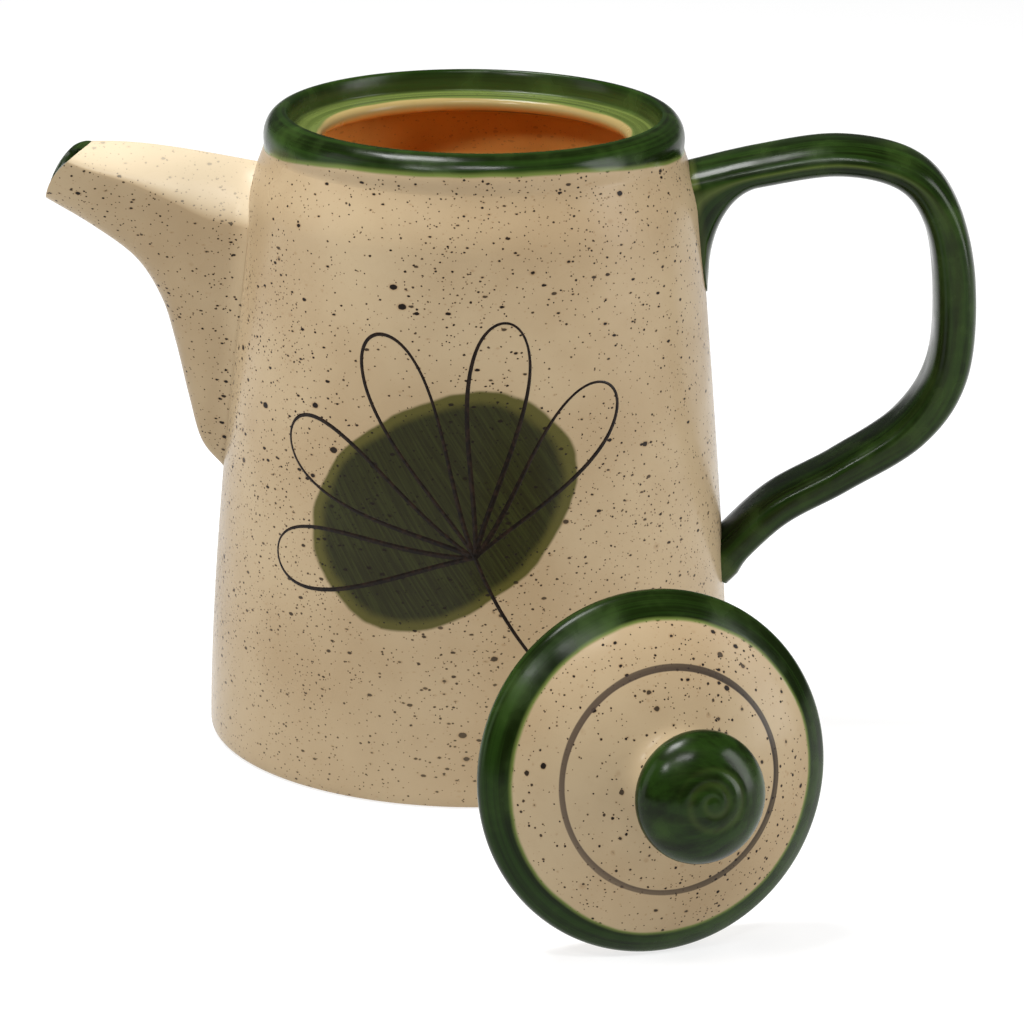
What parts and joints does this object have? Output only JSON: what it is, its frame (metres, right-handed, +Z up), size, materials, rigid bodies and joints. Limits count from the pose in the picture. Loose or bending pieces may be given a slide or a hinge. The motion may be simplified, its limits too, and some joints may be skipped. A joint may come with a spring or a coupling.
{
  "type": "teapot",
  "caption": "Glazed ceramic teapot with tapered body, rolled rim with inner ledge, beaked spout and strap handle; its flanged, knobbed lid stands beside it.",
  "frame": {"origin": "centre of the flat underside of the pot's base, on the table", "axes": "+Z up along the pot's axis, +X towards the handle, -X towards the spout, -Y towards the standing lid"},
  "size_m": [0.2039, 0.2201, 0.14],
  "materials": {
    "cream_glaze": "glossy warm cream glaze with dark iron specks",
    "green_glaze": "glossy brushed translucent green glaze",
    "inner_glaze": "glossy orange-brown glaze inside the pot",
    "painted_line": "thin black-brown brush line under the glaze",
    "bare_clay": "matt wiped clay where a piece rests on another"
  },
  "bodies": {
    "pot": {"pot_body": "cream_glaze", "rim_collar": "green_glaze", "spout": "cream_glaze", "handle": "green_glaze"},
    "lid": {"lid_plate": "cream_glaze", "lid_flange": "bare_clay", "lid_knob": "green_glaze"}
  },
  "joints": [
    {"name": "lid_lift", "type": "slide", "parent": "pot", "child": "lid", "axis": [0, 0, 1], "range_m": [0, 0.16]}
  ]
}
